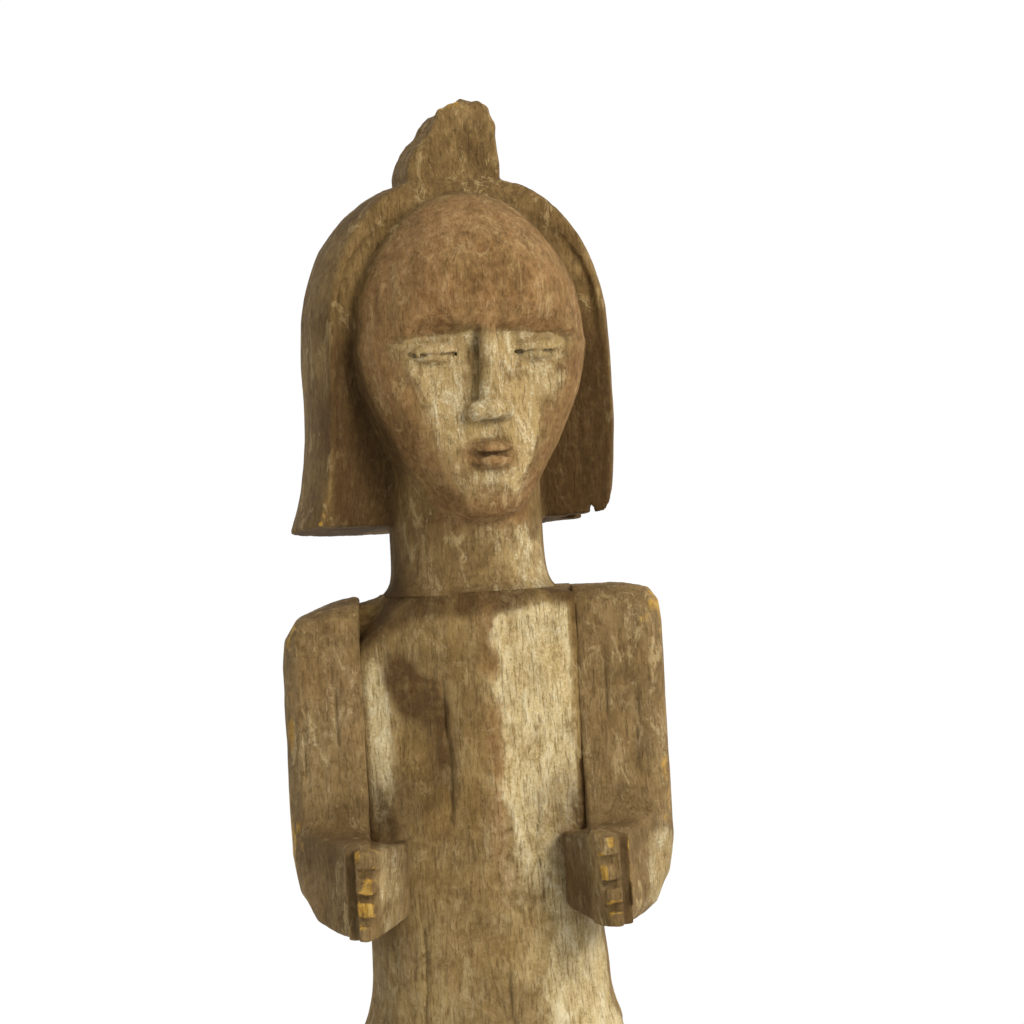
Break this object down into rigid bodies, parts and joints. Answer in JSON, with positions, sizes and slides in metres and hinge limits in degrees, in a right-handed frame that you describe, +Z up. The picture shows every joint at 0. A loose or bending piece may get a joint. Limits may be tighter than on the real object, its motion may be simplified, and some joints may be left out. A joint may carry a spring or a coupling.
{
  "type": "carved ancestor figure",
  "caption": "Standing carved wooden ancestor figure with crested coiffure, column neck, slab arms with hands held forward, short bent legs and a stepped display base.",
  "frame": {"origin": "middle of the underside of the base, on the surface it stands on", "axes": "+Z up, the figure faces -Y, +X towards the figure's left hand"},
  "size_m": [0.19, 0.16, 0.637],
  "materials": {
    "head_carved_wood": "weathered, chalky, reddish on the forehead",
    "pale_carved_wood": "weathered, pale clay rubbed into the grain",
    "dark_carved_wood": "weathered, worn to bare wood on its edges",
    "base_wood": "dark stained, satin",
    "peg_wood": "plain, dry"
  },
  "bodies": {
    "root": {"base": "base_wood", "hips_and_legs": "dark_carved_wood", "torso": "pale_carved_wood", "head": "head_carved_wood", "right_arm": "dark_carved_wood", "left_arm": "dark_carved_wood", "neck_peg": "peg_wood", "waist_peg": "peg_wood", "right_arm_dowels": "peg_wood", "left_arm_dowels": "peg_wood", "foot_dowels": "peg_wood"}
  },
  "joints": []
}
